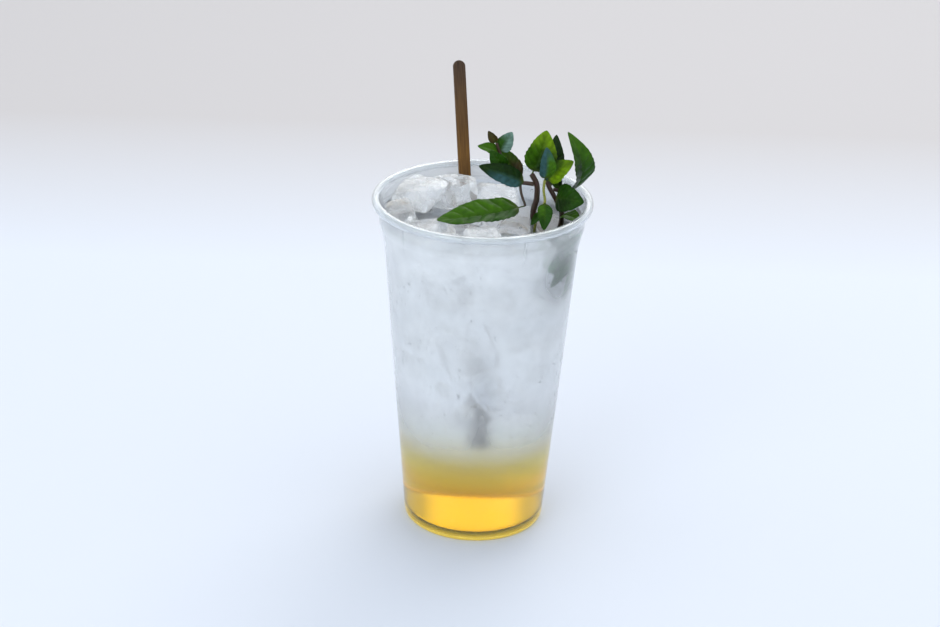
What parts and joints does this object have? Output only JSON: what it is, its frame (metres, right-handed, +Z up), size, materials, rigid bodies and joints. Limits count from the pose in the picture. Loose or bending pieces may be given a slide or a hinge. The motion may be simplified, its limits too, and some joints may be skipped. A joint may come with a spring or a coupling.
{
  "type": "mojito cocktail in a plastic cup",
  "caption": "Tall clear plastic cup of iced mojito: amber syrup under clear soda, ice at the surface, a mint sprig and a flat wooden stirrer standing in it.",
  "frame": {"origin": "centre of the cup's foot, on the surface that the cup stands on", "axes": "+Z up along the cup's axis; -Y is the front; the mint stands on the +X side and the stirrer leans to the back, +Y"},
  "size_m": [0.0953, 0.095, 0.1973],
  "materials": {
    "cup_plastic": "clear, slightly milky polypropylene with a haze of condensation",
    "syrup": "clear amber liquid",
    "soda": "clear liquid with bubbles",
    "stirrer_wood": "plain sawn wood, damp at the lower end",
    "ice": "wet clear ice with white cracks",
    "mint_stem": "satin plant stem, reddish brown",
    "mint_leaf": "satin, wet and puckered leaf"
  },
  "bodies": {
    "root": {"cup": "cup_plastic", "syrup": "syrup", "soda": "soda", "stirrer": "stirrer_wood", "ice_1": "ice", "ice_2": "ice", "ice_3": "ice", "ice_4": "ice", "ice_5": "ice", "ice_6": "ice", "ice_7": "ice", "ice_8": "ice", "ice_9": "ice", "mint_stem_1": "mint_stem", "mint_stem_2": "mint_stem", "mint_stem_3": "mint_stem", "mint_stem_4": "mint_stem", "mint_stem_5": "mint_stem", "mint_stem_6": "mint_stem", "mint_leaf_1": "mint_leaf", "mint_leaf_2": "mint_leaf", "mint_leaf_3": "mint_leaf", "mint_leaf_4": "mint_leaf", "mint_leaf_5": "mint_leaf", "mint_leaf_6": "mint_leaf", "mint_leaf_7": "mint_leaf", "mint_leaf_8": "mint_leaf", "mint_leaf_9": "mint_leaf", "mint_leaf_10": "mint_leaf", "mint_leaf_11": "mint_leaf", "mint_leaf_12": "mint_leaf", "mint_leaf_13": "mint_leaf", "mint_leaf_14": "mint_leaf", "mint_leaf_15": "mint_leaf", "mint_leaf_16": "mint_leaf", "mint_leaf_17": "mint_leaf"}
  },
  "joints": []
}
